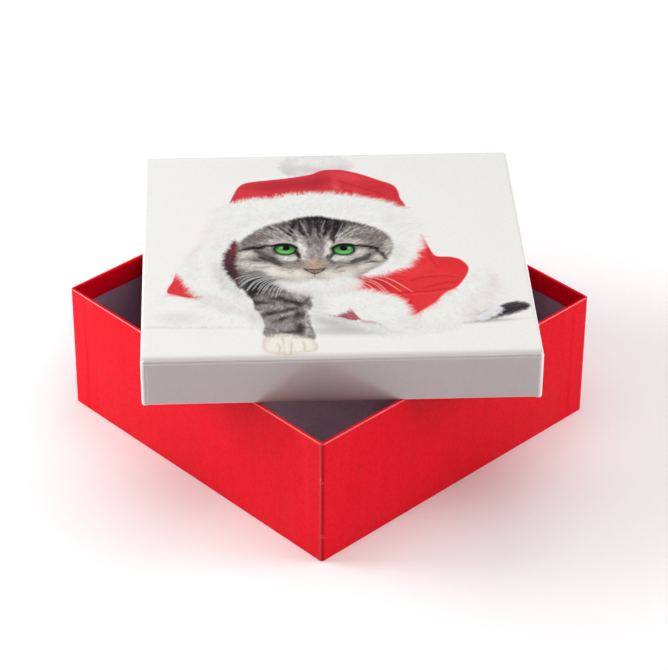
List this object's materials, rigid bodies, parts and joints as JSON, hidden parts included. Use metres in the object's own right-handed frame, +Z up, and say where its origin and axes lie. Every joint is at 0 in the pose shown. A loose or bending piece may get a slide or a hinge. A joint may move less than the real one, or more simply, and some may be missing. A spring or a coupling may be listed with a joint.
{
  "type": "boxed jigsaw puzzle",
  "caption": "Square rigid paper-covered box with a lift-off picture lid standing turned on its rim, and an interlocking jigsaw puzzle lying assembled on its floor.",
  "frame": {"origin": "centre of the box's underside, on the surface it stands on", "axes": "+Z up; +X and +Y along the box's own sides, with the picture's foot facing the corner between +X and -Y"},
  "size_m": [0.3472, 0.3472, 0.122],
  "materials": {
    "red_paper": "gloss",
    "printed_paper": "satin",
    "greyboard": "matte",
    "stay_tape": "matte",
    "puzzle_board": "matte"
  },
  "bodies": {
    "base": {"base_underside_sheet": "red_paper", "base_floor_board": "greyboard", "base_front_wall_board": "greyboard", "base_right_wall_board": "greyboard", "base_back_wall_board": "greyboard", "base_left_wall_board": "greyboard", "base_corner_tape_1": "stay_tape", "base_corner_tape_2": "stay_tape", "base_corner_tape_3": "stay_tape", "base_corner_tape_4": "stay_tape", "base_wrap": "red_paper"},
    "lid": {"lid_top_board": "greyboard", "lid_skirt_board_1": "greyboard", "lid_skirt_board_2": "greyboard", "lid_skirt_board_3": "greyboard", "lid_skirt_board_4": "greyboard", "lid_corner_tape_1": "stay_tape", "lid_corner_tape_2": "stay_tape", "lid_corner_tape_3": "stay_tape", "lid_corner_tape_4": "stay_tape", "lid_wrap": "printed_paper"},
    "puzzle_piece_r1_c1": {"puzzle_piece_r1_c1": "puzzle_board"},
    "puzzle_piece_r1_c2": {"puzzle_piece_r1_c2": "puzzle_board"},
    "puzzle_piece_r1_c3": {"puzzle_piece_r1_c3": "puzzle_board"},
    "puzzle_piece_r1_c4": {"puzzle_piece_r1_c4": "puzzle_board"},
    "puzzle_piece_r1_c5": {"puzzle_piece_r1_c5": "puzzle_board"},
    "puzzle_piece_r1_c6": {"puzzle_piece_r1_c6": "puzzle_board"},
    "puzzle_piece_r2_c1": {"puzzle_piece_r2_c1": "puzzle_board"},
    "puzzle_piece_r2_c2": {"puzzle_piece_r2_c2": "puzzle_board"},
    "puzzle_piece_r2_c3": {"puzzle_piece_r2_c3": "puzzle_board"},
    "puzzle_piece_r2_c4": {"puzzle_piece_r2_c4": "puzzle_board"},
    "puzzle_piece_r2_c5": {"puzzle_piece_r2_c5": "puzzle_board"},
    "puzzle_piece_r2_c6": {"puzzle_piece_r2_c6": "puzzle_board"},
    "puzzle_piece_r3_c1": {"puzzle_piece_r3_c1": "puzzle_board"},
    "puzzle_piece_r3_c2": {"puzzle_piece_r3_c2": "puzzle_board"},
    "puzzle_piece_r3_c3": {"puzzle_piece_r3_c3": "puzzle_board"},
    "puzzle_piece_r3_c4": {"puzzle_piece_r3_c4": "puzzle_board"},
    "puzzle_piece_r3_c5": {"puzzle_piece_r3_c5": "puzzle_board"},
    "puzzle_piece_r3_c6": {"puzzle_piece_r3_c6": "puzzle_board"},
    "puzzle_piece_r4_c1": {"puzzle_piece_r4_c1": "puzzle_board"},
    "puzzle_piece_r4_c2": {"puzzle_piece_r4_c2": "puzzle_board"},
    "puzzle_piece_r4_c3": {"puzzle_piece_r4_c3": "puzzle_board"},
    "puzzle_piece_r4_c4": {"puzzle_piece_r4_c4": "puzzle_board"},
    "puzzle_piece_r4_c5": {"puzzle_piece_r4_c5": "puzzle_board"},
    "puzzle_piece_r4_c6": {"puzzle_piece_r4_c6": "puzzle_board"},
    "puzzle_piece_r5_c1": {"puzzle_piece_r5_c1": "puzzle_board"},
    "puzzle_piece_r5_c2": {"puzzle_piece_r5_c2": "puzzle_board"},
    "puzzle_piece_r5_c3": {"puzzle_piece_r5_c3": "puzzle_board"},
    "puzzle_piece_r5_c4": {"puzzle_piece_r5_c4": "puzzle_board"},
    "puzzle_piece_r5_c5": {"puzzle_piece_r5_c5": "puzzle_board"},
    "puzzle_piece_r5_c6": {"puzzle_piece_r5_c6": "puzzle_board"},
    "puzzle_piece_r6_c1": {"puzzle_piece_r6_c1": "puzzle_board"},
    "puzzle_piece_r6_c2": {"puzzle_piece_r6_c2": "puzzle_board"},
    "puzzle_piece_r6_c3": {"puzzle_piece_r6_c3": "puzzle_board"},
    "puzzle_piece_r6_c4": {"puzzle_piece_r6_c4": "puzzle_board"},
    "puzzle_piece_r6_c5": {"puzzle_piece_r6_c5": "puzzle_board"},
    "puzzle_piece_r6_c6": {"puzzle_piece_r6_c6": "puzzle_board"}
  },
  "joints": [
    {"name": "lid_lift", "type": "slide", "parent": "base", "child": "lid", "axis": [0, 0, 1], "range_m": [0, 0.15]},
    {"name": "piece_r1_c1_lift", "type": "slide", "parent": "base", "child": "puzzle_piece_r1_c1", "axis": [0, 0, 1], "range_m": [0, 0.07]},
    {"name": "piece_r1_c2_lift", "type": "slide", "parent": "base", "child": "puzzle_piece_r1_c2", "axis": [0, 0, 1], "range_m": [0, 0.07]},
    {"name": "piece_r1_c3_lift", "type": "slide", "parent": "base", "child": "puzzle_piece_r1_c3", "axis": [0, 0, 1], "range_m": [0, 0.07]},
    {"name": "piece_r1_c4_lift", "type": "slide", "parent": "base", "child": "puzzle_piece_r1_c4", "axis": [0, 0, 1], "range_m": [0, 0.07]},
    {"name": "piece_r1_c5_lift", "type": "slide", "parent": "base", "child": "puzzle_piece_r1_c5", "axis": [0, 0, 1], "range_m": [0, 0.07]},
    {"name": "piece_r1_c6_lift", "type": "slide", "parent": "base", "child": "puzzle_piece_r1_c6", "axis": [0, 0, 1], "range_m": [0, 0.07]},
    {"name": "piece_r2_c1_lift", "type": "slide", "parent": "base", "child": "puzzle_piece_r2_c1", "axis": [0, 0, 1], "range_m": [0, 0.07]},
    {"name": "piece_r2_c2_lift", "type": "slide", "parent": "base", "child": "puzzle_piece_r2_c2", "axis": [0, 0, 1], "range_m": [0, 0.07]},
    {"name": "piece_r2_c3_lift", "type": "slide", "parent": "base", "child": "puzzle_piece_r2_c3", "axis": [0, 0, 1], "range_m": [0, 0.07]},
    {"name": "piece_r2_c4_lift", "type": "slide", "parent": "base", "child": "puzzle_piece_r2_c4", "axis": [0, 0, 1], "range_m": [0, 0.07]},
    {"name": "piece_r2_c5_lift", "type": "slide", "parent": "base", "child": "puzzle_piece_r2_c5", "axis": [0, 0, 1], "range_m": [0, 0.07]},
    {"name": "piece_r2_c6_lift", "type": "slide", "parent": "base", "child": "puzzle_piece_r2_c6", "axis": [0, 0, 1], "range_m": [0, 0.07]},
    {"name": "piece_r3_c1_lift", "type": "slide", "parent": "base", "child": "puzzle_piece_r3_c1", "axis": [0, 0, 1], "range_m": [0, 0.07]},
    {"name": "piece_r3_c2_lift", "type": "slide", "parent": "base", "child": "puzzle_piece_r3_c2", "axis": [0, 0, 1], "range_m": [0, 0.07]},
    {"name": "piece_r3_c3_lift", "type": "slide", "parent": "base", "child": "puzzle_piece_r3_c3", "axis": [0, 0, 1], "range_m": [0, 0.07]},
    {"name": "piece_r3_c4_lift", "type": "slide", "parent": "base", "child": "puzzle_piece_r3_c4", "axis": [0, 0, 1], "range_m": [0, 0.07]},
    {"name": "piece_r3_c5_lift", "type": "slide", "parent": "base", "child": "puzzle_piece_r3_c5", "axis": [0, 0, 1], "range_m": [0, 0.07]},
    {"name": "piece_r3_c6_lift", "type": "slide", "parent": "base", "child": "puzzle_piece_r3_c6", "axis": [0, 0, 1], "range_m": [0, 0.07]},
    {"name": "piece_r4_c1_lift", "type": "slide", "parent": "base", "child": "puzzle_piece_r4_c1", "axis": [0, 0, 1], "range_m": [0, 0.07]},
    {"name": "piece_r4_c2_lift", "type": "slide", "parent": "base", "child": "puzzle_piece_r4_c2", "axis": [0, 0, 1], "range_m": [0, 0.07]},
    {"name": "piece_r4_c3_lift", "type": "slide", "parent": "base", "child": "puzzle_piece_r4_c3", "axis": [0, 0, 1], "range_m": [0, 0.07]},
    {"name": "piece_r4_c4_lift", "type": "slide", "parent": "base", "child": "puzzle_piece_r4_c4", "axis": [0, 0, 1], "range_m": [0, 0.07]},
    {"name": "piece_r4_c5_lift", "type": "slide", "parent": "base", "child": "puzzle_piece_r4_c5", "axis": [0, 0, 1], "range_m": [0, 0.07]},
    {"name": "piece_r4_c6_lift", "type": "slide", "parent": "base", "child": "puzzle_piece_r4_c6", "axis": [0, 0, 1], "range_m": [0, 0.07]},
    {"name": "piece_r5_c1_lift", "type": "slide", "parent": "base", "child": "puzzle_piece_r5_c1", "axis": [0, 0, 1], "range_m": [0, 0.07]},
    {"name": "piece_r5_c2_lift", "type": "slide", "parent": "base", "child": "puzzle_piece_r5_c2", "axis": [0, 0, 1], "range_m": [0, 0.07]},
    {"name": "piece_r5_c3_lift", "type": "slide", "parent": "base", "child": "puzzle_piece_r5_c3", "axis": [0, 0, 1], "range_m": [0, 0.07]},
    {"name": "piece_r5_c4_lift", "type": "slide", "parent": "base", "child": "puzzle_piece_r5_c4", "axis": [0, 0, 1], "range_m": [0, 0.07]},
    {"name": "piece_r5_c5_lift", "type": "slide", "parent": "base", "child": "puzzle_piece_r5_c5", "axis": [0, 0, 1], "range_m": [0, 0.07]},
    {"name": "piece_r5_c6_lift", "type": "slide", "parent": "base", "child": "puzzle_piece_r5_c6", "axis": [0, 0, 1], "range_m": [0, 0.07]},
    {"name": "piece_r6_c1_lift", "type": "slide", "parent": "base", "child": "puzzle_piece_r6_c1", "axis": [0, 0, 1], "range_m": [0, 0.07]},
    {"name": "piece_r6_c2_lift", "type": "slide", "parent": "base", "child": "puzzle_piece_r6_c2", "axis": [0, 0, 1], "range_m": [0, 0.07]},
    {"name": "piece_r6_c3_lift", "type": "slide", "parent": "base", "child": "puzzle_piece_r6_c3", "axis": [0, 0, 1], "range_m": [0, 0.07]},
    {"name": "piece_r6_c4_lift", "type": "slide", "parent": "base", "child": "puzzle_piece_r6_c4", "axis": [0, 0, 1], "range_m": [0, 0.07]},
    {"name": "piece_r6_c5_lift", "type": "slide", "parent": "base", "child": "puzzle_piece_r6_c5", "axis": [0, 0, 1], "range_m": [0, 0.07]},
    {"name": "piece_r6_c6_lift", "type": "slide", "parent": "base", "child": "puzzle_piece_r6_c6", "axis": [0, 0, 1], "range_m": [0, 0.07]}
  ]
}
